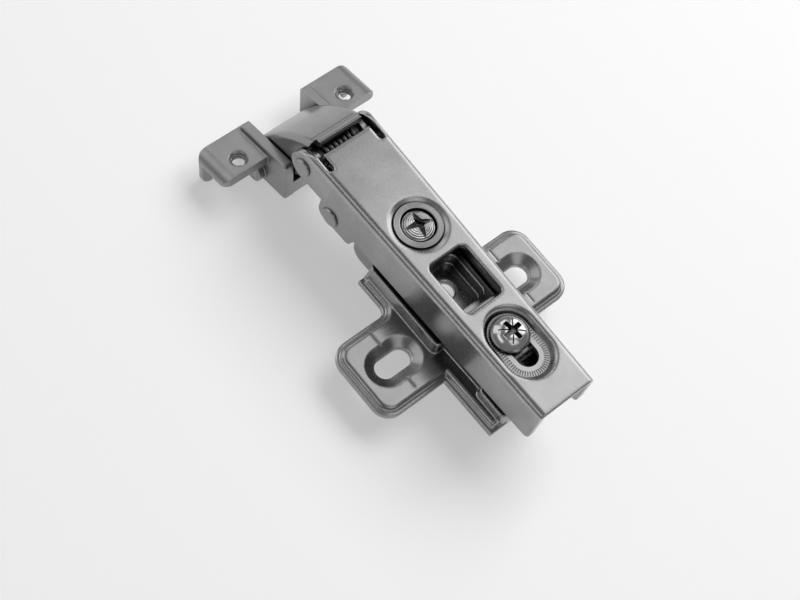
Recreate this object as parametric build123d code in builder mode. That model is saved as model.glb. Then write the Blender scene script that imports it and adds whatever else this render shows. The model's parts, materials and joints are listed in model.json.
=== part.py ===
"""Concealed cabinet hinge for narrow aluminium-frame doors, on a cruciform mounting plate.

Frame: origin midway between the two plate screws, on the plate's mounting face. +X points
along the arm to the door, +Y across the cabinet side, +Z out of the cabinet side.
The hinge stands open. All sizes are millimetres.
"""

from build123d import *
import os
from math import atan2, cos, degrees, hypot, pi, radians, sin

os.makedirs("parts", exist_ok=True)

# ---- Driving dimensions ----
sheet = 1.2  # thickness of the stamped plate, arm and levers
bend_r = 1.5  # outside radius of the arm's folds
run_gap = 0.05  # radial clearance of a turning or sliding fit
side_gap = 0.25  # clearance between flat sides that slide past each other

# Mounting plate
slot_pitch = 32.0  # between the two plate screws, along Y
slot_w = 4.4
slot_l = 8.4
dimple_r = 4.4  # countersink round each slot, at the top
dimple_floor_r = 2.5
dimple_pad = 0.5  # how far inside the countersink's top the pressed pad ends
wing_w = 18.0  # along X
wing_reach = 25.3  # from the centre to the wing's end, along Y
wing_corner_r = 4.0
plate_h = 2.4  # height of the turned-down plate
flange_w = 0.8  # flat flange round the foot of the plate
rim_r = 1.1  # rounded edge above the flange
mark_w = 0.25  # engraved centre mark beside each slot
mark_depth = 0.2
mark_x = (-6.8, 7.4)
foot_front = 17.6
foot_rear = -22.9
foot_half_front = 10.2
foot_half_rear = 9.7
waist_front_r = 2.0  # hollow corner between wing and foot
waist_rear_r = 3.5
shoulder_front = (-4.0, 18.2)  # X from, X to
shoulder_rear = (-22.9, -14.2)
shoulder_front_h = 5.5
shoulder_rear_h = 4.5
shoulder_front_half = 9.0
shoulder_rear_half = 7.6
shoulder_lean = 0.6  # how far a shoulder's wall leans in
shoulder_corner_r = 1.6
rail_h = 10.7
nose_x = 24.0  # front end of the rail
nose_r = 3.0
seat_x = (-16.1, -3.3)  # raised seat under the arm's recess
seat_half = 5.0
pocket_x = (-1.2, 9.3)
pocket_half = 4.9
pocket_floor = 7.5
pocket_hole_x = 4.5
pocket_hole_r = 1.95

# Arm
arm_rear = -28.5
arm_top = 17.5
arm_half_rear = 7.1  # outside half width at the rear end
arm_taper = 1.3 / 63.5  # half width gained for each millimetre towards the door
wall_foot = 6.9  # height of the side walls' lower edge
lobe_foot = 3.87
web_front = 38.4  # front edge of the arm's top
ear_slot_rear = 34.6  # rear end of the slots beside the ears
ear_slot_w = 1.5
ear_slot_over = 0.15  # how far each slot runs into the side wall
ear_front = 3.5  # from the front pin to the ear's front, lower edge and crown
ear_under = 3.7
ear_crown = 3.9
lobe_front = 3.4  # from the rear pin to the lobe's front and rear edges
lobe_rear = 6.5
lobe_corner = 1.5
arm_travel = 5.0  # depth adjustment
window_x = (-4.3, 7.95)
window_half = 4.6
recess_depth = 1.5
recess_r = 4.5
recess_lip_r = 5.6
recess_blend_r = 0.9  # rounded edge between the top and the recess
tooth_pitch = 0.55  # radial teeth on the recess floor
tooth_w = 0.25
tooth_depth = 0.15
tooth_r = (3.4, 4.35)
window_corner_r = 1.2
window_blend_r = 0.5
clamp_x = -11.8  # clamp screw, at the front end of its slot
clamp_slot_w = 4.8
adjust_x = 16.0
adjust_dish_r = 6.2

# Screws and bush
clamp_head_r = 4.0
clamp_head_h = 2.4
clamp_shank_r = 2.0  # M4
bush_r = 5.0
bush_foot = 12.6
bush_top = 17.3
adjust_r = 3.7
adjust_rim = 16.4  # height of the adjusting screw's rim
adjust_dome = 1.7
adjust_cross_r = 3.0  # reach of the cross recess's arms
adjust_cross_depth = 1.1
adjust_arm_w = 0.8
neck_r = 2.0
collar_r = 3.2
collar_h = 1.1
clamp_turn = 7  # degrees that each cross recess is turned
adjust_turn = -13

# Linkage: pin centres in the plane X, Z, and in the bracket's own plane
front_pin_x, front_pin_z = 40.3, 12.3
rear_pin_x, rear_pin_z = 30.5, 6.4
lever_pin_u, lever_pin_v = 0.0, -6.6
link_pin_u, link_pin_v = -1.2, -2.2
arm_pin_r = 1.5
bracket_pin_r = 1.25
link_pin_r = 0.9
front_head_r = 2.0
rear_head_r = 2.2
head_h = 0.4

# Outer lever
lever_bow_r = 40.0  # outside radius of the curved plate
lever_bow_x, lever_bow_z = 17.63, -14.1  # centre of the curve
lever_half = 6.7
lever_lip_x = 40.6
lever_lip_half = 5.3
lever_lip_r = 0.9  # the lip's rolled bar, and how far it stands above the curve
lever_lip_rise = 0.35
lever_valley_r = 1.6  # hollow in front of the lip
lever_valley_depth = 0.35
lever_notch = 1.5  # from the front pin's centre to the front of the notch beside the lip
lever_tip_x = 56.6
lever_front_r = 3.2  # round end of the cheeks about the front pin
lever_pin_end_r = 2.3

# Inner lever
link_half = 4.5
link_rear_r = 2.7
link_front_r = 1.55
link_slot = (-1.4, 0.32)  # from the link pin's seat to the far end of its slot, along and across
link_slot_r = 1.3  # radius of the slot's far end
link_eye_wall = 0.8
bracket_swing = 89.3  # degrees that the bracket turns on the outer lever, open to closed

# Spring and sleeve
wire_r = 0.5
sleeve_r = 2.1
coil_turns = 7
coil_pitch = 1.15

# Door bracket, in its own plane: u towards the door's free edge, v out of the ears
bracket_x, bracket_z = 52.28, 3.39  # centre between the ear holes
bracket_tilt = 12.5  # degrees, nose down
ear_pitch = 28.0
ear_t = 2.2
ear_u = (-3.3, 6.5)
ear_reach = 20.2
ear_end_r = 3.0
ear_corner_r = 2.0
hook_u = 4.2  # the hook under the ear's end runs from here to the front
hook_r = 2.6  # outside radius of the hook's curl
hook_depth = 8.1
hook_t = 2.0
ear_hole_r = 1.65  # M4 core
ear_hole_chamfer = 0.45
cheek_in = 6.95
cheek_out = 9.1
cheek_u = (-8.8, 5.9)
cheek_top = 1.4
cheek_foot = -9.0
cheek_corner_r = 0.8
rib_r = 0.5  # rounded top edge of the cheek
rib_root_r = 0.5  # hollow corner between the cheek and the ear
boss_r = 2.5  # boss round the lever pin, on the outside of the cheek
boss_h = 1.5
link_pin_inset = 0.7  # the link pin's ends lie this far inside the cheeks' faces
cross_t = 2.0
cross_top = -4.6


# ---- Dependent places ----
def arm_half(x):
    """Outside half width of the arm at x."""
    return arm_half_rear + (x - arm_rear) * arm_taper


def rail_half(x):
    """Half width of the plate's rail: it clears the arm's walls over the whole travel."""
    return arm_half(x - arm_travel) - sheet - side_gap


def bracket_point(u, v):
    """X and Z of a point of the bracket's own plane."""
    tilt = radians(bracket_tilt)
    x = bracket_x + u * cos(tilt) + v * sin(tilt)
    z = bracket_z - u * sin(tilt) + v * cos(tilt)
    return x, z


lever_pin_x, lever_pin_z = bracket_point(lever_pin_u, lever_pin_v)
link_pin_x, link_pin_z = bracket_point(link_pin_u, link_pin_v)
slot_y = slot_pitch / 2
recess_floor = arm_top - recess_depth
seat_h = recess_floor - sheet
clamp_rear_x = clamp_x - arm_travel - 2 * run_gap
web_under = arm_top - sheet


def side_plane(y=0.0):
    """The X, Z plane at y, its normal towards -Y."""
    return Plane((0, y, 0), x_dir=(1, 0, 0), z_dir=(0, -1, 0))


def stadium(r, x_from, x_to):
    """A slot shape along X in the current sketch."""
    with Locations(((x_from + x_to) / 2, 0)):
        SlotCenterToCenter(x_to - x_from, 2 * r)


# ---- Mounting plate ----
def plate_base_sketch(inset):
    """Wings and foot in one outline, drawn in by inset."""
    with BuildSketch() as outline:
        with BuildLine():
            Polyline(
                (foot_front, -foot_half_front),
                (foot_front, foot_half_front),
                (foot_rear, foot_half_rear),
                (foot_rear, -foot_half_rear),
                close=True,
            )
        make_face()
        Rectangle(wing_w, 2 * wing_reach)
        corners = outline.vertices().group_by(Axis.Y)
        fillet([*corners[0], *corners[-1]], wing_corner_r)
        waist = [v for v in outline.vertices() if abs(abs(v.X) - wing_w / 2) < 1e-6 and abs(v.Y) < wing_reach / 2]
        fillet([v for v in waist if v.X > 0], waist_front_r)
        fillet([v for v in waist if v.X < 0], waist_rear_r)
        if inset:
            offset(amount=-inset, kind=Kind.INTERSECTION)
    return outline.sketch


def plate_form(inset):
    """The plate's stepped outside, with every wall drawn in and every top lowered by inset."""
    front_over = 2 * inset  # the hollow runs out through the open nose
    with BuildPart() as form:
        if not inset:
            with BuildSketch(Plane.XY):
                add(plate_base_sketch(0))
            extrude(amount=sheet)
        with BuildSketch(Plane.XY):
            add(plate_base_sketch(flange_w + inset))
        extrude(amount=plate_h - inset)
        fillet(form.edges().group_by(Axis.Z)[-1], rim_r - inset * 0.8)
        for (x_from, x_to), half, top in (
            (shoulder_front, shoulder_front_half, shoulder_front_h),
            (shoulder_rear, shoulder_rear_half, shoulder_rear_h),
        ):
            with BuildSketch(Plane.XY):
                with Locations(((x_from + x_to) / 2, 0)):
                    RectangleRounded(x_to - x_from - 2 * inset, 2 * (half - inset), shoulder_corner_r - inset)
            extrude(amount=top - inset, taper=degrees(atan2(shoulder_lean, top)))
        with BuildSketch(Plane.XY):
            x_rear, x_front = foot_rear + inset, nose_x + front_over
            with BuildLine():
                Polyline(
                    (x_rear, rail_half(foot_rear) - inset),
                    (x_front, rail_half(x_front) - inset),
                    (x_front, inset - rail_half(x_front)),
                    (x_rear, inset - rail_half(foot_rear)),
                    close=True,
                )
            make_face()
        extrude(amount=rail_h - inset)
        with BuildSketch(Plane.XY):
            with Locations(((seat_x[0] + seat_x[1]) / 2, 0)):
                RectangleRounded(seat_x[1] - seat_x[0] - 2 * inset, 2 * (seat_half - inset), bend_r - inset)
        extrude(amount=seat_h - inset)
        with BuildSketch(Plane.XY.offset(pocket_floor - inset)):
            with Locations(((pocket_x[0] + pocket_x[1]) / 2, 0)):
                reach = 2 * (pocket_half + inset * 2)
                RectangleRounded(pocket_x[1] - pocket_x[0] + 2 * inset, reach, bend_r)
        extrude(amount=rail_h - pocket_floor + inset, mode=Mode.SUBTRACT)
    return form.part


plate_outside = plate_form(0)
plate_inside = plate_form(sheet)

with BuildPart() as mounting_plate:
    add(plate_outside)
    add(plate_inside, mode=Mode.SUBTRACT)
    # Countersunk slots: the sheet is pressed down to the mounting face round each.
    for side in (-1, 1):
        with BuildSketch(Plane((0, side * slot_y, 0), x_dir=(0, 1, 0), z_dir=(0, 0, 1))):
            SlotCenterToCenter(slot_l - slot_w, 2 * (dimple_r - dimple_pad))
        extrude(amount=plate_h - sheet / 2)
        with BuildSketch(Plane((0, side * slot_y, plate_h), x_dir=(0, 1, 0), z_dir=(0, 0, 1))):
            SlotCenterToCenter(slot_l - slot_w, 2 * dimple_r)
        with BuildSketch(Plane((0, side * slot_y, sheet), x_dir=(0, 1, 0), z_dir=(0, 0, 1))):
            SlotCenterToCenter(slot_l - slot_w, 2 * dimple_floor_r)
        loft(mode=Mode.SUBTRACT)
        with BuildSketch(Plane((0, side * slot_y, 0), x_dir=(0, 1, 0), z_dir=(0, 0, 1))):
            SlotCenterToCenter(slot_l - slot_w, slot_w)
        extrude(amount=plate_h, mode=Mode.SUBTRACT)
        with BuildSketch(Plane.XY.offset(plate_h - mark_depth)):
            with Locations(((mark_x[0] + mark_x[1]) / 2, side * slot_y)):
                Rectangle(mark_x[1] - mark_x[0], mark_w)
        extrude(amount=sheet, mode=Mode.SUBTRACT)
    # Collar and thread for the clamp screw, under the seat.
    with BuildSketch(Plane.XY.offset(rail_h - sheet)):
        with Locations((clamp_x, 0)):
            Circle(clamp_shank_r + sheet)
    extrude(amount=seat_h - rail_h + sheet / 2)
    with BuildSketch(Plane.XY):
        with Locations((clamp_x, 0)):
            Circle(clamp_shank_r + run_gap)
        with Locations((pocket_hole_x, 0)):
            Circle(pocket_hole_r)
    extrude(amount=arm_top, mode=Mode.SUBTRACT)
    # Open slot in the nose for the adjusting screw's neck.
    with BuildSketch(Plane.XY.offset(rail_h - 2 * sheet)):
        stadium(neck_r + side_gap, adjust_x, nose_x + adjust_dish_r)
    extrude(amount=3 * sheet, mode=Mode.SUBTRACT)
    # Rounded lower front corners of the nose.
    nose_edges = mounting_plate.edges().filter_by(Axis.Y).filter_by_position(Axis.X, nose_x - 0.01, nose_x + 0.01)
    fillet(nose_edges.group_by(Axis.Z)[0], nose_r)
mounting_plate.part.label = "mounting_plate"
export_step(mounting_plate.part, "parts/mounting_plate.step")


# ---- Arm ----
def arm_plan(inset, x_from, x_to):
    """The arm's tapered outline from above."""
    with BuildSketch() as plan:
        with BuildLine():
            Polyline(
                (x_from, arm_half(x_from) - inset),
                (x_to, arm_half(x_to) - inset),
                (x_to, inset - arm_half(x_to)),
                (x_from, inset - arm_half(x_from)),
                close=True,
            )
        make_face()
    return plan.sketch


ear_x = front_pin_x + ear_front
# Points of the arm's outline from the side.
ear_back = (web_front - bend_r, arm_top)
ear_nose = (ear_x, front_pin_z + 0.1 * ear_front)
ear_foot = (front_pin_x - 0.1 * ear_front, front_pin_z - ear_under)
lobe_top = (rear_pin_x + lobe_front, front_pin_z - ear_under)
lobe_nose = (rear_pin_x + lobe_front, lobe_foot + 1.5 * lobe_corner)
lobe_toe = (rear_pin_x + lobe_front - lobe_corner, lobe_foot)
lobe_heel = (rear_pin_x - lobe_rear + lobe_corner, lobe_foot)
lobe_back = (rear_pin_x - lobe_rear, lobe_foot + lobe_corner)
wall_end = (rear_pin_x - lobe_rear - lobe_corner / 2, wall_foot)
heel = (arm_rear + bend_r, wall_foot)

with BuildPart() as arm:
    with BuildSketch(Plane.XY.offset(lobe_foot)):
        add(arm_plan(0, arm_rear, ear_x))
    extrude(amount=arm_top - lobe_foot)
    fillet(arm.faces().sort_by(Axis.Z)[-1].edges().filter_by(lambda e: e.length > 60), bend_r)
    with BuildSketch(Plane.XY):
        add(arm_plan(sheet, arm_rear - 1, ear_x + 1))
    extrude(amount=web_under, mode=Mode.SUBTRACT)
    # Side walls: the outline from the side.
    with BuildSketch(side_plane()):
        with BuildLine():
            Line((arm_rear, arm_top), ear_back)
            ThreePointArc(ear_back, (front_pin_x + 0.3 * ear_front, front_pin_z + ear_crown), ear_nose)
            ThreePointArc(ear_nose, (front_pin_x + 0.7 * ear_front, front_pin_z - 0.7 * ear_under), ear_foot)
            Polyline(ear_foot, lobe_top, lobe_nose)
            RadiusArc(lobe_nose, lobe_toe, 1.6 * lobe_corner)
            Line(lobe_toe, lobe_heel)
            RadiusArc(lobe_heel, lobe_back, lobe_corner)
            Polyline(lobe_back, wall_end, heel)
            RadiusArc(heel, (arm_rear, wall_foot + bend_r), bend_r)
            Line((arm_rear, wall_foot + bend_r), (arm_rear, arm_top))
        make_face()
    extrude(amount=2 * arm_half(ear_x), both=True, mode=Mode.INTERSECT)
    # Front edge of the top, with a slot beside each ear.
    with BuildSketch(Plane.XY.offset(front_pin_z)):
        with Locations((web_front, 0)):
            Rectangle(ear_x - web_front + 1, 2 * (arm_half(web_front) - sheet), align=(Align.MIN, Align.CENTER))
        slot_mid = arm_half(ear_slot_rear) - sheet + ear_slot_over - ear_slot_w / 2
        with Locations((web_front, slot_mid), (web_front, -slot_mid)):
            SlotOverall(2 * (web_front - ear_slot_rear), ear_slot_w)
    extrude(amount=arm_top, mode=Mode.SUBTRACT)
    # Recess for the clamp screw.
    with BuildSketch(Plane.XY.offset(seat_h)):
        stadium(recess_r + sheet, clamp_rear_x, clamp_x)
    extrude(amount=web_under - seat_h + sheet / 2)
    with BuildSketch(Plane.XY.offset(arm_top)):
        stadium(recess_lip_r, clamp_rear_x, clamp_x)
    with BuildSketch(Plane.XY.offset(recess_floor)):
        stadium(recess_r, clamp_rear_x, clamp_x)
    loft(mode=Mode.SUBTRACT)
    recess_edge = arm.edges().filter_by_position(Axis.Z, arm_top - 0.01, arm_top + 0.01).filter_by_position(
        Axis.X, clamp_rear_x - recess_lip_r - 0.1, clamp_x + recess_lip_r + 0.1)
    fillet(recess_edge, recess_blend_r)
    with BuildSketch(Plane.XY.offset(seat_h - 1)):
        stadium(clamp_slot_w / 2, clamp_rear_x, clamp_x)
    extrude(amount=arm_top, mode=Mode.SUBTRACT)
    # Radial teeth round the slot, on the recess floor.
    with BuildSketch(Plane.XY.offset(recess_floor - tooth_depth)):
        tooth_mid = (tooth_r[0] + tooth_r[1]) / 2
        around = round(pi * tooth_r[1] / tooth_pitch)
        along = round((clamp_x - clamp_rear_x) / tooth_pitch)
        for end, turn in ((clamp_rear_x, 90), (clamp_x, -90)):
            with Locations((end, 0)):
                with PolarLocations(tooth_mid, around + 1, turn, 180, endpoint=True):
                    Rectangle(tooth_r[1] - tooth_r[0], tooth_w)
        with Locations(((clamp_rear_x + clamp_x) / 2, 0)):
            with GridLocations((clamp_x - clamp_rear_x) / along, 2 * tooth_mid, along - 1, 2):
                Rectangle(tooth_w, tooth_r[1] - tooth_r[0])
    extrude(amount=2 * tooth_depth, mode=Mode.SUBTRACT)
    # Drawn collar that holds the adjusting bush, with a dished lip.
    with BuildSketch(Plane.XY.offset(bush_foot + 0.4)):
        with Locations((adjust_x, 0)):
            Circle(bush_r + sheet)
    extrude(amount=web_under - bush_foot)
    with BuildSketch(Plane.XY.offset(bush_foot - 1)):
        with Locations((adjust_x, 0)):
            Circle(bush_r)
    extrude(amount=arm_top, mode=Mode.SUBTRACT)
    chamfer(arm.edges().filter_by(GeomType.CIRCLE).filter_by_position(Axis.Z, arm_top - 0.01, arm_top + 0.01)
            .filter_by_position(Axis.X, adjust_x - bush_r, adjust_x + bush_r), 0.6, adjust_dish_r - bush_r)
    # Window over the plate's pocket.
    with BuildSketch(Plane.XY.offset(web_under - 1)):
        with Locations(((window_x[0] + window_x[1]) / 2, 0)):
            RectangleRounded(window_x[1] - window_x[0], 2 * window_half, window_corner_r)
    extrude(amount=arm_top, mode=Mode.SUBTRACT)
    window_edge = arm.edges().filter_by_position(Axis.Z, arm_top - 0.01, arm_top + 0.01).filter_by_position(
        Axis.X, window_x[0] - 0.1, window_x[1] + 0.1).filter_by(lambda e: abs(e.center().Y) < window_half + 0.1)
    fillet(window_edge, window_blend_r)
    # Rivet holes.
    with BuildSketch(side_plane()):
        with Locations((front_pin_x, front_pin_z), (rear_pin_x, rear_pin_z)):
            Circle(arm_pin_r)
    extrude(amount=2 * arm_half(ear_x), both=True, mode=Mode.SUBTRACT)
arm.part.label = "arm"
export_step(arm.part, "parts/arm.step")

# ---- Adjusting bush and screws ----
with BuildPart() as adjuster_bush:
    with BuildSketch(Plane.XY.offset(bush_foot)):
        with Locations((adjust_x, 0)):
            Circle(bush_r)
            Circle(adjust_r + run_gap, mode=Mode.SUBTRACT)
    extrude(amount=bush_top - bush_foot)
adjuster_bush.part.label = "adjuster_bush"
export_step(adjuster_bush.part, "parts/adjuster_bush.step")

collar_top = rail_h - sheet - side_gap / 2
neck_top = rail_h + side_gap / 2


def cross_arm(reach, width):
    """Two opposite arms of a cross recess: wide in the middle, narrow at both ends."""
    with BuildSketch() as arms:
        with BuildLine():
            Polyline(
                (reach, width / 4),
                (width / 2, width),
                (-width / 2, width),
                (-reach, width / 4),
                (-reach, -width / 4),
                (-width / 2, -width),
                (width / 2, -width),
                (reach, -width / 4),
                close=True,
            )
        make_face()
    return arms.sketch


with BuildPart() as adjusting_screw:
    with BuildSketch(side_plane()):
        with BuildLine():
            Polyline(
                (adjust_x, collar_top - collar_h),
                (adjust_x + collar_r, collar_top - collar_h),
                (adjust_x + collar_r, collar_top),
                (adjust_x + neck_r, collar_top),
                (adjust_x + neck_r, neck_top),
                (adjust_x + adjust_r, neck_top),
                (adjust_x + adjust_r, adjust_rim),
            )
            ThreePointArc(
                (adjust_x + adjust_r, adjust_rim),
                (adjust_x + adjust_r * 0.6, adjust_rim + adjust_dome * 0.72),
                (adjust_x, adjust_rim + adjust_dome),
            )
            Line((adjust_x, adjust_rim + adjust_dome), (adjust_x, collar_top - collar_h))
        make_face()
    revolve(axis=Axis((adjust_x, 0, 0), (0, 0, 1)))
    # Cross recess whose arms narrow towards their ends, with a deeper middle.
    for reach, depth in ((adjust_cross_r, adjust_cross_depth), (adjust_cross_r / 2, 2 * adjust_cross_depth)):
        with BuildSketch(Plane.XY.offset(adjust_rim + adjust_dome - depth)):
            with Locations((adjust_x, 0)):
                with Locations(Rotation(0, 0, adjust_turn), Rotation(0, 0, adjust_turn + 90)):
                    add(cross_arm(reach, adjust_arm_w))
        extrude(amount=depth + 1, mode=Mode.SUBTRACT)
adjusting_screw.part.label = "adjusting_screw"
export_step(adjusting_screw.part, "parts/adjusting_screw.step")

clamp_foot = rail_h - sheet - 1.5
with BuildPart() as clamp_screw:
    with BuildSketch(side_plane()):
        with BuildLine():
            Polyline(
                (clamp_x, clamp_foot),
                (clamp_x + clamp_shank_r - 0.4, clamp_foot),
                (clamp_x + clamp_shank_r, clamp_foot + 0.4),
                (clamp_x + clamp_shank_r, recess_floor),
                (clamp_x + clamp_head_r - 0.4, recess_floor),
                (clamp_x + clamp_head_r, recess_floor + 0.7),
            )
            ThreePointArc(
                (clamp_x + clamp_head_r, recess_floor + 0.7),
                (clamp_x + clamp_head_r * 0.78, recess_floor + clamp_head_h * 0.78),
                (clamp_x, recess_floor + clamp_head_h),
            )
            Line((clamp_x, recess_floor + clamp_head_h), (clamp_x, clamp_foot))
        make_face()
    revolve(axis=Axis((clamp_x, 0, 0), (0, 0, 1)))
    for length, width, depth, turn in (
        (1.1 * clamp_head_r, 1.0, 1.8, clamp_turn),
        (1.4 * clamp_head_r, 0.25, 0.8, clamp_turn + 45),
    ):
        with BuildSketch(Plane.XY.offset(recess_floor + clamp_head_h - depth)):
            with Locations((clamp_x, 0)):
                Rectangle(length, width, rotation=turn)
                Rectangle(width, length, rotation=turn)
        extrude(amount=depth + 1, mode=Mode.SUBTRACT)
clamp_screw.part.label = "clamp_screw"
export_step(clamp_screw.part, "parts/clamp_screw.step")


# ---- Levers ----
def bow_point(x, depth=0.0):
    """A point of the outer lever's curve at x, depth below the outside."""
    r = lever_bow_r - depth
    return x, lever_bow_z + (r * r - (x - lever_bow_x) ** 2) ** 0.5


def tangent_pair(xa, za, ra, xb, zb, rb, side):
    """Touching points of the line that runs along two circles, on the given side of a to b."""
    run = hypot(xb - xa, zb - za)
    along = atan2(zb - za, xb - xa)
    lean = side * (pi / 2 - atan2(ra - rb, run))
    turn = along + lean
    return (xa + ra * cos(turn), za + ra * sin(turn)), (xb + rb * cos(turn), zb + rb * sin(turn))


lip_out = bow_point(lever_lip_x)
tip_out = bow_point(lever_tip_x)
mid_out = bow_point((lever_lip_x + lever_tip_x) / 2 + 1)
tip_angle = atan2(tip_out[1] - lever_bow_z, tip_out[0] - lever_bow_x)
tip_in = (tip_out[0] - sheet * cos(tip_angle), tip_out[1] - sheet * sin(tip_angle))
under_a, under_b = tangent_pair(
    front_pin_x, front_pin_z, lever_front_r, lever_pin_x, lever_pin_z, lever_pin_end_r, -1
)

path_over = 12  # degrees that the cut for the link pin runs on, out of the cheek's edge
pins_apart = hypot(link_pin_x - lever_pin_x, link_pin_z - lever_pin_z)
pins_angle = degrees(atan2(link_pin_z - lever_pin_z, link_pin_x - lever_pin_x))

with BuildPart() as outer_lever:
    with BuildSketch(side_plane()):
        with BuildLine():
            ThreePointArc(lip_out, mid_out, tip_out)
            Line(tip_out, tip_in)
            Line(tip_in, (lever_pin_x + lever_pin_end_r * 0.7, lever_pin_z - lever_pin_end_r * 0.71))
            ThreePointArc(
                (lever_pin_x + lever_pin_end_r * 0.7, lever_pin_z - lever_pin_end_r * 0.71),
                (lever_pin_x - lever_pin_end_r * 0.26, lever_pin_z - lever_pin_end_r * 0.97),
                under_b,
            )
            Line(under_b, under_a)
            ThreePointArc(
                under_a, (front_pin_x - lever_front_r, front_pin_z + 0.6), (front_pin_x - 1.2, front_pin_z + 2.966)
            )
            Line((front_pin_x - 1.2, front_pin_z + 2.966), lip_out)
        make_face()
    extrude(amount=lever_half, both=True)
    bow_edges = outer_lever.edges().filter_by(GeomType.CIRCLE).filter_by(
        lambda e: abs(e.radius - lever_bow_r) < 0.01)
    fillet(bow_edges, bend_r)
    # The channel between the lever's cheeks, under the curved plate.
    with BuildSketch(side_plane()):
        with BuildLine():
            ThreePointArc(
                bow_point(lever_lip_x - 6, sheet),
                bow_point((lever_lip_x + lever_tip_x) / 2, sheet),
                bow_point(lever_tip_x - 0.4, sheet),
            )
            Polyline(
                bow_point(lever_tip_x - 0.4, sheet),
                (lever_tip_x - 0.4, lever_pin_z - 12),
                (lever_lip_x - 14, lever_pin_z),
                bow_point(lever_lip_x - 6, sheet),
            )
        make_face()
    extrude(amount=lever_half - sheet, both=True, mode=Mode.SUBTRACT)
    # Narrow lip at the rear end: a notch over each cheek, a hollow and a rolled bar.
    for side in (-1, 1):
        with BuildSketch(side_plane(side * lever_lip_half)):
            with Locations((front_pin_x + lever_notch, front_pin_z)):
                Rectangle(3 * lever_front_r, 3 * lever_front_r, align=(Align.MAX, Align.MIN))
            with Locations((front_pin_x, front_pin_z)):
                Circle(lever_front_r, mode=Mode.SUBTRACT)
        extrude(amount=-side * lever_half, mode=Mode.SUBTRACT)
    with BuildSketch(side_plane()):
        with Locations(bow_point(lever_lip_x + 2 * lever_lip_r + lever_lip_rise, lever_valley_depth - lever_valley_r)):
            Circle(lever_valley_r)
    extrude(amount=lever_lip_half, both=True, mode=Mode.SUBTRACT)
    with BuildSketch(side_plane()):
        with Locations(bow_point(lever_lip_x + lever_lip_r * 0.8, lever_lip_r - lever_lip_rise)):
            Circle(lever_lip_r)
    extrude(amount=lever_lip_half, both=True)
    with BuildSketch(side_plane()):
        with Locations((front_pin_x, front_pin_z)):
            Circle(arm_pin_r + run_gap)
        with Locations((lever_pin_x, lever_pin_z)):
            Circle(bracket_pin_r + run_gap)
        # The link pin's path about the lever pin.
        with BuildLine(mode=Mode.PRIVATE) as pin_path:
            CenterArc((lever_pin_x, lever_pin_z), pins_apart, pins_angle, bracket_swing + path_over)
        SlotArc(pin_path.edge(), 2 * (link_pin_r + side_gap))
    extrude(amount=2 * lever_half, both=True, mode=Mode.SUBTRACT)
outer_lever.part.label = "outer_lever"
export_step(outer_lever.part, "parts/outer_lever.step")

# The inner lever lies along the line from the rear pin to its pin in the bracket.
link_run = hypot(link_pin_x - rear_pin_x, link_pin_z - rear_pin_z)
link_dir = (link_pin_x - rear_pin_x, 0, link_pin_z - rear_pin_z)
link_side = Plane((rear_pin_x, 0, rear_pin_z), x_dir=link_dir, z_dir=(0, -1, 0))
slot_end = (link_run + link_slot[0], link_slot[1])

with BuildPart() as inner_lever:
    with BuildSketch(link_side):
        with BuildLine():
            CenterArc((0, 0), link_rear_r, 0, 360)
            CenterArc(slot_end, link_slot_r + link_eye_wall, 0, 360)
            CenterArc((link_run, 0), link_front_r, 0, 360)
        make_hull()
    extrude(amount=link_half, both=True)
    # The channel between its cheeks, open at the top and at both ends.
    with BuildSketch(link_side):
        with Locations((link_run / 2, sheet - link_rear_r)):
            Rectangle(2 * link_run, 3 * link_rear_r, align=(Align.CENTER, Align.MIN))
        for end in (0, link_run):
            with Locations((end, 0)):
                Rectangle(4 * link_rear_r, 4 * link_rear_r)
    extrude(amount=link_half - sheet, both=True, mode=Mode.SUBTRACT)
    with BuildSketch(link_side):
        Circle(arm_pin_r + run_gap)
    extrude(amount=2 * link_half, both=True, mode=Mode.SUBTRACT)
    with BuildSketch(link_side):
        with BuildLine():
            CenterArc(slot_end, link_slot_r, 0, 360)
            CenterArc((link_run, 0), link_pin_r + 2 * run_gap, 0, 360)
        make_hull()
    extrude(amount=2 * link_half, both=True, mode=Mode.SUBTRACT)
inner_lever.part.label = "inner_lever"
export_step(inner_lever.part, "parts/inner_lever.step")


# ---- Pins ----
def riveted_pin(name, x, z, r, half_len, head_r):
    """A pin along Y with a flat riveted head at each end, or none if head_r is 0."""
    with BuildPart() as pin:
        with BuildSketch(side_plane()):
            with Locations((x, z)):
                Circle(r)
        extrude(amount=half_len, both=True)
        if head_r:
            for side in (-1, 1):
                with BuildSketch(Plane((x, side * half_len, z), x_dir=(1, 0, 0), z_dir=(0, side, 0))):
                    Circle(head_r)
                extrude(amount=head_h, taper=20)
    pin.part.label = name
    export_step(pin.part, f"parts/{name}.step")
    return pin.part


front_half = arm_half(front_pin_x + front_head_r)
rear_half = arm_half(rear_pin_x + rear_head_r)
front_pin = riveted_pin("front_pin", front_pin_x, front_pin_z, arm_pin_r, front_half, front_head_r)
rear_pin = riveted_pin("rear_pin", rear_pin_x, rear_pin_z, arm_pin_r, rear_half, rear_head_r)
lever_pin = riveted_pin("lever_pin", lever_pin_x, lever_pin_z, bracket_pin_r, cheek_out + boss_h, 0)
link_pin = riveted_pin("link_pin", link_pin_x, link_pin_z, link_pin_r, cheek_out - link_pin_inset, 0)

# ---- Spring sleeve and spring on the front pin ----
sleeve_half = lever_half - sheet - side_gap / 2
with BuildPart() as spring_sleeve:
    with BuildSketch(side_plane()):
        with Locations((front_pin_x, front_pin_z)):
            Circle(sleeve_r)
            Circle(arm_pin_r + run_gap, mode=Mode.SUBTRACT)
    extrude(amount=sleeve_half, both=True)
spring_sleeve.part.label = "spring_sleeve"
export_step(spring_sleeve.part, "parts/spring_sleeve.step")

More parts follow.
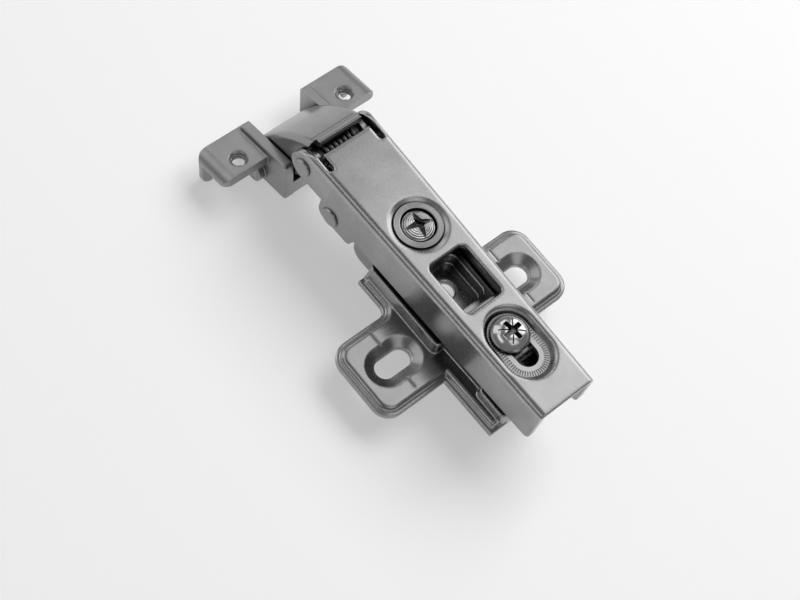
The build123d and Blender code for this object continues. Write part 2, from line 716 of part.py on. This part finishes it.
coil_r = sleeve_r + wire_r + run_gap
coil_len = coil_turns * coil_pitch
coil_start = (front_pin_x, coil_len / 2, front_pin_z)
with BuildPart() as torsion_spring:
    with BuildLine() as coil:
        Helix(pitch=coil_pitch, height=coil_len, radius=coil_r, center=coil_start, direction=(0, -1, 0))
    # A six-sided section keeps the many-turned solid light.
    with BuildSketch(Plane(coil.line @ 0, z_dir=coil.line % 0)):
        RegularPolygon(wire_r, 6)
    sweep(path=coil.line, is_frenet=True)
torsion_spring.part.label = "torsion_spring"
export_step(torsion_spring.part, "parts/torsion_spring.step")

# ---- Door bracket, made level in its own plane and then tilted ----
ear_level = ear_reach - ear_end_r  # where the ear's top starts to turn down
ear_lip_y = ear_level + (ear_end_r**2 - (ear_end_r - ear_t) ** 2) ** 0.5  # its end at the underside
hook_inner = ear_reach - hook_t
hook_z = hook_r - hook_depth  # height where the hook starts to curl in

with BuildPart() as ear:
    section = Plane((ear_u[0], 0, 0), x_dir=(0, 1, 0), z_dir=(1, 0, 0))
    with BuildSketch(section):
        with BuildLine():
            Line((cheek_in + rib_r, 0), (ear_level, 0))
            RadiusArc((ear_level, 0), (ear_lip_y, -ear_t), ear_end_r)
            Polyline((ear_lip_y, -ear_t), (cheek_in + rib_r, -ear_t), (cheek_in + rib_r, 0))
        make_face()
    extrude(amount=ear_u[1] - ear_u[0])
    # Hook under the front of the ear's end.
    with BuildSketch(section.offset(hook_u - ear_u[0])):
        with BuildLine():
            Line((ear_level, 0), (ear_level, -ear_t))
            Polyline((ear_level, -ear_t), (hook_inner, -ear_t), (hook_inner, hook_z))
            RadiusArc((hook_inner, hook_z), (ear_reach - hook_r, hook_t - hook_depth), hook_r - hook_t)
            Line((ear_reach - hook_r, hook_t - hook_depth), (ear_reach - hook_r, -hook_depth))
            RadiusArc((ear_reach - hook_r, -hook_depth), (ear_reach, hook_z), -hook_r)
            Line((ear_reach, hook_z), (ear_reach, -ear_end_r))
            RadiusArc((ear_reach, -ear_end_r), (ear_level, 0), -ear_end_r)
        make_face()
    extrude(amount=ear_u[1] - hook_u)
    # Rounded outer corners, seen from above.
    with BuildSketch(Plane.XY.offset(-hook_depth)):
        with Locations(((ear_u[0] + ear_u[1]) / 2, 0)):
            RectangleRounded(ear_u[1] - ear_u[0], 2 * ear_reach, ear_corner_r)
    extrude(amount=hook_depth, mode=Mode.INTERSECT)

with BuildPart() as casting:
    with BuildSketch(side_plane(cheek_in)):
        with Locations(((cheek_u[0] + cheek_u[1]) / 2, (cheek_top + cheek_foot) / 2)):
            RectangleRounded(cheek_u[1] - cheek_u[0], cheek_top - cheek_foot, cheek_corner_r)
    extrude(amount=cheek_in - cheek_out)
    fillet(casting.edges().filter_by(Axis.X).group_by(Axis.Z)[-1].sort_by(Axis.Y)[-1], rib_r)
    with BuildSketch(side_plane(cheek_out)):
        with Locations((lever_pin_u, lever_pin_v)):
            Circle(boss_r)
    extrude(amount=-boss_h)
    add(ear.part)
    rib_root = casting.edges().filter_by(Axis.X).filter_by_position(Axis.Y, cheek_out - 0.01, cheek_out + 0.01)
    fillet(rib_root.filter_by_position(Axis.Z, -0.01, 0.01), rib_root_r)
    mirror(about=Plane.XZ)
    with BuildSketch(side_plane()):
        with Locations((cheek_u[0], cheek_foot + cheek_corner_r)):
            Rectangle(cross_t, cross_top - cheek_foot - cheek_corner_r, align=(Align.MIN, Align.MIN))
    extrude(amount=cheek_in + cheek_corner_r / 4, both=True)
    with BuildSketch(Plane.XY.offset(-2 * ear_t)):
        with Locations((0, ear_pitch / 2), (0, -ear_pitch / 2)):
            Circle(ear_hole_r)
    extrude(amount=3 * ear_t, mode=Mode.SUBTRACT)
    hole_rims = casting.edges().filter_by(GeomType.CIRCLE).filter_by_position(Axis.Z, -0.01, 0.01).filter_by(
        lambda e: abs(e.radius - ear_hole_r) < 0.01)
    chamfer(hole_rims, ear_hole_chamfer)

with BuildPart() as door_bracket:
    with Locations(Location((bracket_x, 0, bracket_z), (0, bracket_tilt, 0))):
        add(casting.part)
    with BuildSketch(side_plane()):
        with Locations((lever_pin_x, lever_pin_z)):
            Circle(bracket_pin_r)
    extrude(amount=cheek_out + boss_h, both=True, mode=Mode.SUBTRACT)
    with BuildSketch(side_plane()):
        with Locations((link_pin_x, link_pin_z)):
            Circle(link_pin_r)
    extrude(amount=cheek_out - link_pin_inset, both=True, mode=Mode.SUBTRACT)
door_bracket.part.label = "door_bracket"
export_step(door_bracket.part, "parts/door_bracket.step")
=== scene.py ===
import json
from math import pi

import bmesh
import bpy
from mathutils import Matrix, Vector


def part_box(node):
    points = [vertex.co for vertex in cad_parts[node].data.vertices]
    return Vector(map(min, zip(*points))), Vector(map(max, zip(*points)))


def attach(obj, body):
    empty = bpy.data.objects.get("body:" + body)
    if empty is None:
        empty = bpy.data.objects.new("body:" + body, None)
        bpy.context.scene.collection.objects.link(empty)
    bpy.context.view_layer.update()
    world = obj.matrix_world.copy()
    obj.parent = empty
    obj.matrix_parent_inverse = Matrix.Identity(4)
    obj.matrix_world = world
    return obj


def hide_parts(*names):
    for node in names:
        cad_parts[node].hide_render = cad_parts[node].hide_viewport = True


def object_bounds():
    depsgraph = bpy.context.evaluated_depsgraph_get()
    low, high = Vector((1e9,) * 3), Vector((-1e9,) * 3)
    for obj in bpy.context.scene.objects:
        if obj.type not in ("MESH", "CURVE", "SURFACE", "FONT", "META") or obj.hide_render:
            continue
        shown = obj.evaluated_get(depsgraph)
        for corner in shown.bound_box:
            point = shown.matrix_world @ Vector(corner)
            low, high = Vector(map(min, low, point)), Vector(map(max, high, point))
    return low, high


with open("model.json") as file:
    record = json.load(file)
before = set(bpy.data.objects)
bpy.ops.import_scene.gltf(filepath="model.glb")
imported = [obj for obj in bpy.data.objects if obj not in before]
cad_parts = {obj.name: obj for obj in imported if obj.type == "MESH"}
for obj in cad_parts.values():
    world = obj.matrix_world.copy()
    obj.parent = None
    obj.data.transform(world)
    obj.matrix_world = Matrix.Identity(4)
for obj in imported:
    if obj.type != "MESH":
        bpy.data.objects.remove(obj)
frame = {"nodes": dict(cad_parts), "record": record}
cad_box = [list(corner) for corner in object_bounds()]
nodes = frame["nodes"]
scene = bpy.context.scene
scene.view_settings.view_transform = "Standard"
mm = 0.001


# ---- Finishes ----
soft_samples = 8  # rays per point for the rounded edges and the painted corner shade
edge_turned, edge_flat = 0.86, 0.99  # how far the rounded normal agrees with the face
cloud = 5 * mm  # size of the plating's light and dark clouds
cloud_change = 0.08  # and how much lighter or darker they are
grain = 0.12 * mm  # of the satin under the plating
grain_gloss = (-0.06, 0.08)  # what the grain adds to the roughness
edge_highlight_gain = 1.5  # how much lighter the painted highlight on an edge is


class Finish:
    """A surface finish: one shader, with helpers for the patterns that drive it."""

    def __init__(self, name, metallic, roughness):
        self.material = bpy.data.materials.new(name)
        self.material.use_nodes = True
        self.tree = self.material.node_tree
        self.shader = self.tree.nodes["Principled BSDF"]
        self.shader.inputs["Metallic"].default_value = metallic
        self.shader.inputs["Roughness"].default_value = roughness
        self.place = self.node("ShaderNodeTexCoord").outputs["Object"]

    def node(self, kind, **settings):
        made = self.tree.nodes.new(kind)
        for key, value in settings.items():
            setattr(made, key, value)
        return made

    def link(self, source, target):
        self.tree.links.new(source, target)

    def times(self, first, second):
        """The product of a socket and a socket or number."""
        made = self.node("ShaderNodeMath", operation="MULTIPLY")
        self.link(first, made.inputs[0])
        if isinstance(second, float):
            made.inputs[1].default_value = second
        else:
            self.link(second, made.inputs[1])
        return made.outputs["Value"]

    def larger(self, first, second):
        """The larger of two sockets."""
        made = self.node("ShaderNodeMath", operation="MAXIMUM")
        self.link(first, made.inputs[0])
        self.link(second, made.inputs[1])
        return made.outputs["Value"]

    def noise(self, size, detail):
        """A soft random pattern whose clouds have about the given size in metres."""
        made = self.node("ShaderNodeTexNoise")
        made.inputs["Scale"].default_value = 1 / size
        made.inputs["Detail"].default_value = detail
        self.link(self.place, made.inputs["Vector"])
        return made.outputs["Fac"]

    def spread(self, source, low, high, start=0.3, end=0.7):
        """The source's run from start to end, as values from low to high."""
        made = self.node("ShaderNodeMapRange")
        made.inputs["From Min"].default_value = start
        made.inputs["From Max"].default_value = end
        made.inputs["To Min"].default_value = low
        made.inputs["To Max"].default_value = high
        self.link(source, made.inputs["Value"])
        return made.outputs["Result"]

    def mixed(self, share, first, second):
        """From the first colour to the second; each is a socket or a grey tone."""
        made = self.node("ShaderNodeMix", data_type="RGBA")
        for name, colour in (("A", first), ("B", second)):
            if isinstance(colour, float):
                made.inputs[name].default_value = (colour, colour, colour, 1)
            else:
                self.link(colour, made.inputs[name])
        self.link(share, made.inputs["Factor"])
        return made.outputs["Result"]

    def bump(self, source, height, under=None):
        """Relief of the given height in metres, over the normal under it."""
        made = self.node("ShaderNodeBump")
        made.inputs["Strength"].default_value = 1.0
        made.inputs["Distance"].default_value = height
        self.link(source, made.inputs["Height"])
        if under:
            self.link(under, made.inputs["Normal"])
        return made.outputs["Normal"]

    def soft_edges(self, radius):
        """A normal that rounds each sharp edge to the given radius, a number or a socket."""
        made = self.node("ShaderNodeBevel", samples=soft_samples)
        if isinstance(radius, float):
            made.inputs["Radius"].default_value = radius
        else:
            self.link(radius, made.inputs["Radius"])
        return made.outputs["Normal"]

    def edge_share(self, rounded):
        """1 along the sharp edges and 0 on the flats, from the rounded normal."""
        agreement = self.node("ShaderNodeVectorMath", operation="DOT_PRODUCT")
        self.link(rounded, agreement.inputs[0])
        self.link(self.node("ShaderNodeNewGeometry").outputs["Normal"], agreement.inputs[1])
        return self.spread(agreement.outputs["Value"], 1, 0, edge_turned, edge_flat)

    def corner_share(self, *reaches):
        """1 on the open faces, falling to 0 in corners and hollows narrower than a reach."""
        open_share = None
        for reach in reaches:
            made = self.node("ShaderNodeAmbientOcclusion", samples=soft_samples)
            made.inputs["Distance"].default_value = reach
            opening = made.outputs["AO"]
            open_share = self.times(open_share, opening) if open_share else opening
        return open_share

    def by_height(self, low, high, start, end):
        """A value that goes from low to high between two heights of the piece."""
        place = self.node("ShaderNodeSeparateXYZ")
        self.link(self.place, place.inputs["Vector"])
        return self.spread(place.outputs["Z"], low, high, start, end)

    def from_axis(self, node):
        """How far a point is from the upright axis of a CAD node."""
        centre = self.node("ShaderNodeMapping", vector_type="POINT")
        centre.inputs["Location"].default_value = -axis_top(node) * Vector((1, 1, 0))
        centre.inputs["Scale"].default_value = (1, 1, 0)
        self.link(self.place, centre.inputs["Vector"])
        out = self.node("ShaderNodeVectorMath", operation="LENGTH")
        self.link(centre.outputs["Vector"], out.inputs[0])
        return out.outputs["Value"]


def axis_top(node):
    """The top of the upright axis through the middle of a CAD node."""
    low, high = (Vector(corner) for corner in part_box(node))
    middle = (low + high) / 2
    return Vector((middle.x, middle.y, high.z))


def plated_metal(
    name, tone, roughness, edge, corner_shade_tone, reaches, clear=0.85, relief=0.0025 * mm, sharp_below=None
):
    """A plated metal: cloudy tone, painted shade in its corners, painted highlight on its edges,
    fine grain.

    The painted shade fills hollows narrower than the reaches, up to the share of open sky that
    clear gives. Below the height sharp_below the edges stay nearly sharp, so fine teeth are kept.
    """
    finish = Finish(name, 1.0, roughness)
    clouds = finish.spread(finish.noise(cloud, 3), 0, 1)
    plating = finish.mixed(clouds, (1 - cloud_change) * tone, (1 + cloud_change) * tone)
    # painted shade: corners and hollows narrower than the reaches darken towards the corner shade
    # tone times the tone
    openness = finish.spread(finish.corner_share(*reaches), 0, 1, clear / 4, clear)
    shade_painted = finish.mixed(openness, corner_shade_tone * tone, plating)
    if sharp_below:
        edge = finish.by_height(0.1 * mm, edge, sharp_below, sharp_below + 0.3 * mm)
    rounded = finish.soft_edges(edge)
    # painted highlight: the sharp edges are lightened to the edge highlight gain times the tone
    edge_highlighted = finish.mixed(finish.edge_share(rounded), shade_painted, edge_highlight_gain * tone)
    finish.link(edge_highlighted, finish.shader.inputs["Base Color"])
    fine = finish.noise(grain, 4)
    gloss = finish.spread(fine, roughness + grain_gloss[0], roughness + grain_gloss[1])
    finish.link(gloss, finish.shader.inputs["Roughness"])
    finish.link(finish.bump(fine, relief, rounded), finish.shader.inputs["Normal"])
    return finish


def turning_marks(finish, node, pitch, height):
    """Fine rings that the lathe left round the node's axis."""
    rings = finish.node("ShaderNodeMath", operation="SINE")
    finish.link(finish.times(finish.from_axis(node), 2 * pi / pitch), rings.inputs[0])
    under = finish.shader.inputs["Normal"].links[0].from_socket
    marked = finish.bump(rings.outputs["Value"], height, under)
    finish.link(marked, finish.shader.inputs["Normal"])


def recess_painted_shade(finish, node, dome_r, reach, tone):
    """Painted shade in a screw's cross recess: what lies under the dome of its head, within a
    reach.
    """
    from_middle = finish.node("ShaderNodeVectorMath", operation="DISTANCE")
    finish.link(finish.place, from_middle.inputs[0])
    from_middle.inputs[1].default_value = axis_top(node) - Vector((0, 0, dome_r))
    depth = from_middle.outputs["Value"]
    sunk = finish.spread(depth, 1, 0, dome_r - 0.4 * mm, dome_r - 0.15 * mm)
    near = finish.spread(finish.from_axis(node), 1, 0, reach, reach + 0.3 * mm)
    colour = finish.shader.inputs["Base Color"].links[0].from_socket
    shade_painted = finish.mixed(finish.times(sunk, near), colour, tone)
    finish.link(shade_painted, finish.shader.inputs["Base Color"])


teeth_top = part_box("arm")[1][2] - 1.5 * mm  # of the teeth in the clamp recess
arm_nickel = plated_metal(
    "arm_satin_nickel", 0.39, 0.25, 0.9 * mm, 0.3, (2.5 * mm, 0.5 * mm), sharp_below=teeth_top
)
plate_nickel = plated_metal("plate_dull_nickel", 0.34, 0.24, 0.8 * mm, 0.3, (3 * mm,))
lever_nickel = plated_metal("lever_smooth_nickel", 0.29, 0.25, 0.25 * mm, 0.3, (2 * mm,))
clamp_zinc = plated_metal(
    "screw_bright_zinc", 0.62, 0.18, 0.12 * mm, 0.05, (2.5 * mm, 1 * mm), clear=0.62
)
turned_zinc = plated_metal(
    "screw_turned_zinc", 0.62, 0.2, 0.12 * mm, 0.05, (1.2 * mm, 0.7 * mm), clear=0.5
)
bush_steel = plated_metal("bush_grey_steel", 0.32, 0.3, 0.2 * mm, 0.2, (0.8 * mm,))
pin_steel = plated_metal("pin_plain_steel", 0.38, 0.28, 0.15 * mm, 0.3, (1 * mm,))
# the spring's very dark tone is painted shade, standing for the shade under the lever's lip
spring_steel = plated_metal("spring_steel_shade_darkened", 0.14, 0.3, 0.1 * mm, 0.1, (2 * mm,))
cast_zinc = plated_metal(
    "bracket_cast_nickel", 0.34, 0.38, 0.3 * mm, 0.25, (2.5 * mm,), relief=0.006 * mm
)
thread_zinc = plated_metal("thread_bare_zinc", 0.55, 0.25, 0.05 * mm, 0.3, (0.4 * mm,))

turning_marks(turned_zinc, "adjusting_screw", 0.4 * mm, 0.05 * mm)
turning_marks(bush_steel, "adjuster_bush", 0.3 * mm, 0.015 * mm)
# painted shade darkens the cross recesses of both screws
recess_painted_shade(turned_zinc, "adjusting_screw", 4.9 * mm, 3.1 * mm, 0.16)
recess_painted_shade(clamp_zinc, "clamp_screw", 9.5 * mm, 2.6 * mm, 0.1)

sleeve_plastic = Finish("sleeve_black_plastic", 0.0, 0.5)
sleeve_grain = sleeve_plastic.noise(0.2 * mm, 3)
sleeve_black = sleeve_plastic.mixed(sleeve_grain, 0.02, 0.05)
sleeve_relief = sleeve_plastic.bump(sleeve_grain, 0.004 * mm)
sleeve_plastic.link(sleeve_black, sleeve_plastic.shader.inputs["Base Color"])
sleeve_plastic.link(sleeve_relief, sleeve_plastic.shader.inputs["Normal"])

finish_of = {
    "mounting_plate": plate_nickel,
    "arm": arm_nickel,
    "adjuster_bush": bush_steel,
    "adjusting_screw": turned_zinc,
    "clamp_screw": clamp_zinc,
    "outer_lever": lever_nickel,
    "inner_lever": lever_nickel,
    "front_pin": pin_steel,
    "rear_pin": pin_steel,
    "lever_pin": pin_steel,
    "link_pin": pin_steel,
    "spring_sleeve": sleeve_plastic,
    "torsion_spring": spring_steel,
    "door_bracket": cast_zinc,
}
for name, finish in finish_of.items():
    nodes[name].data.materials.clear()
    nodes[name].data.materials.append(finish.material)


# ---- Spring and threads ----
steps_per_turn = 32


def wound(name, sides, section_r, middle, axis, first, coil_r, turns, pitch):
    """A closed coil round the axis, as a bmesh, that starts in the first direction.

    Its section has so many sides, and one corner of it points at the axis.
    """
    bm = bmesh.new()
    bmesh.ops.create_circle(bm, segments=sides, radius=section_r)
    axis, first = Vector(axis).normalized(), Vector(first).normalized()
    start = Vector(middle) + first * coil_r - axis * (turns * pitch / 2)
    turned = Matrix((axis, -first, axis.cross(-first))).transposed().to_4x4()
    bmesh.ops.transform(bm, matrix=Matrix.Translation(start) @ turned, verts=bm.verts)
    steps = round(turns * steps_per_turn)
    bmesh.ops.spin(
        bm, geom=bm.verts[:] + bm.edges[:], cent=middle, axis=axis, angle=2 * pi * turns,
        dvec=axis * (turns * pitch / steps), steps=steps,
    )
    bmesh.ops.holes_fill(bm, edges=[edge for edge in bm.edges if edge.is_boundary])
    bmesh.ops.recalc_face_normals(bm, faces=bm.faces)
    return finished(bm, name)


def finished(bm, name):
    """The object made from a bmesh, with its place in its mesh."""
    mesh = bpy.data.meshes.new(name)
    bm.to_mesh(mesh)
    bm.free()
    made = bpy.data.objects.new(name, mesh)
    scene.collection.objects.link(made)
    return made


def fitted(piece, body, finish):
    """The piece, smooth and finished, on the body that carries it."""
    piece.data.shade_smooth()
    piece.data.materials.append(finish.material)
    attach(piece, body)


wire_r = 0.5 * mm
wire_turns, wire_pitch = 7, 1.15 * mm
spring_low, spring_high = (Vector(corner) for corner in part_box("torsion_spring"))
spring_middle = (spring_low + spring_high) / 2
winding_r = (spring_high.z - spring_low.z) / 2 - wire_r
spring_wire = wound(
    "spring_wire", 12, wire_r, spring_middle, (0, -1, 0), (0, 0, -1), winding_r,
    wire_turns, wire_pitch,
)
fitted(spring_wire, "outer_lever", spring_steel)
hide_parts("torsion_spring")

thread_pitch = 0.7 * mm  # M4
ridge_r = 0.2 * mm
ridge_sunk = ridge_r / 4  # into the wall of the hole
ridge_short = 0.3  # turns that the thread ends before the hole does
for mount in frame["record"]["mounts"]:
    if mount["kind"] == "threaded_hole":
        hole_r = mount["dims"]["r_mm"] * mm
        turns = mount["dims"]["length_mm"] * mm / thread_pitch - ridge_short
        ridge = wound(
            mount["name"].replace("ear_thread", "ear_thread_ridge"), 3, ridge_r,
            mount["pos_m"], mount["axis"], (0, 1, 0), hole_r - ridge_sunk, turns, thread_pitch,
        )
        fitted(ridge, "door_bracket", thread_zinc)


# ---- Floor, light and camera ----
def floor_sheet(level, half, glow):
    """A wide pale floor; glow is the share of it that shows white whatever falls on it."""
    bm = bmesh.new()
    under = Matrix.Translation((0, 0, level))
    bmesh.ops.create_grid(bm, x_segments=1, y_segments=1, size=half, matrix=under)
    sheet = finished(bm, "floor")
    paint = Finish("floor_white", 0.0, 0.9)
    paint.shader.inputs["Base Color"].default_value = (0.95, 0.95, 0.95, 1)
    rays = paint.node("ShaderNodeLightPath").outputs
    seen = paint.larger(rays["Is Camera Ray"], rays["Is Glossy Ray"])
    seen = paint.larger(seen, rays["Is Transmission Ray"])
    blend = paint.node("ShaderNodeMixShader")
    paint.link(paint.times(seen, glow), blend.inputs["Fac"])
    paint.link(paint.shader.outputs["BSDF"], blend.inputs[1])
    paint.link(paint.node("ShaderNodeEmission").outputs["Emission"], blend.inputs[2])
    paint.link(blend.outputs["Shader"], paint.tree.nodes["Material Output"].inputs["Surface"])
    sheet.data.materials.append(paint.material)


hinge_middle = Vector((0.015, 0, 0.008))


def soft_box(name, towards, distance, width, height, radiance, lights_floor=False):
    """A flat soft lamp that faces the hinge: the metal sees it, or the floor is lit by it."""
    lamp = bpy.data.lights.new(name, "AREA")
    lamp.shape = "RECTANGLE"
    lamp.size = width
    lamp.size_y = height
    lamp.energy = radiance * pi * width * height
    made = bpy.data.objects.new(name, lamp)
    scene.collection.objects.link(made)
    made.visible_glossy = not lights_floor
    made.visible_diffuse = lights_floor
    back = Vector(towards).normalized()
    turned = back.to_track_quat("Z", "Y").to_matrix().to_4x4()
    made.matrix_world = Matrix.Translation(hinge_middle + back * distance) @ turned


floor_sheet(level=cad_box[0][2] - 0.1 * mm, half=3.0, glow=0.42)
soft_box("floor_lamp", (0.05, -0.6, 0.8), 0.8, 0.6, 0.6, 5.6, lights_floor=True)
soft_box("overhead_panel", (0.05, -0.43, 0.9), 0.7, 0.36, 0.4, 1.25)
soft_box("end_panel", (0.75, -0.35, 0.56), 0.7, 0.3, 0.3, 1.15)
soft_box("far_panel", (0.08, -0.83, 0.47), 0.7, 0.6, 0.45, 1.9)
soft_box("near_strip", (0.21, 0.72, 0.66), 0.7, 0.5, 0.2, 1.1)
soft_box("corner_panel", (0.8, 0.32, 0.45), 0.7, 0.45, 0.75, 0.85)
soft_box("rear_panel", (-0.55, 0.05, 0.83), 0.7, 0.4, 0.4, 0.7)

world = bpy.data.worlds.new("studio")
scene.world = world
world.use_nodes = True
air = world.node_tree.nodes["Background"]
air.inputs["Color"].default_value = (1, 1, 1, 1)
air.inputs["Strength"].default_value = 0.2

camera = bpy.data.objects.new("camera", bpy.data.cameras.new("camera"))
scene.collection.objects.link(camera)
camera.data.sensor_fit = "HORIZONTAL"
camera.data.sensor_width = 36.0
camera.data.lens = 81.42
camera.data.clip_start = 0.01
camera.data.clip_end = 10
eye = Vector((-66.22, 154.33, 321.28)) * mm
right = Vector((-0.63188, -0.74945, 0.19763))
up = Vector((0.74601, -0.51894, 0.41734))
back = Vector((-0.21022, 0.41114, 0.88700))
turned = Matrix((right, up, back)).transposed().to_4x4()
camera.matrix_world = Matrix.Translation(eye) @ turned
scene.camera = camera
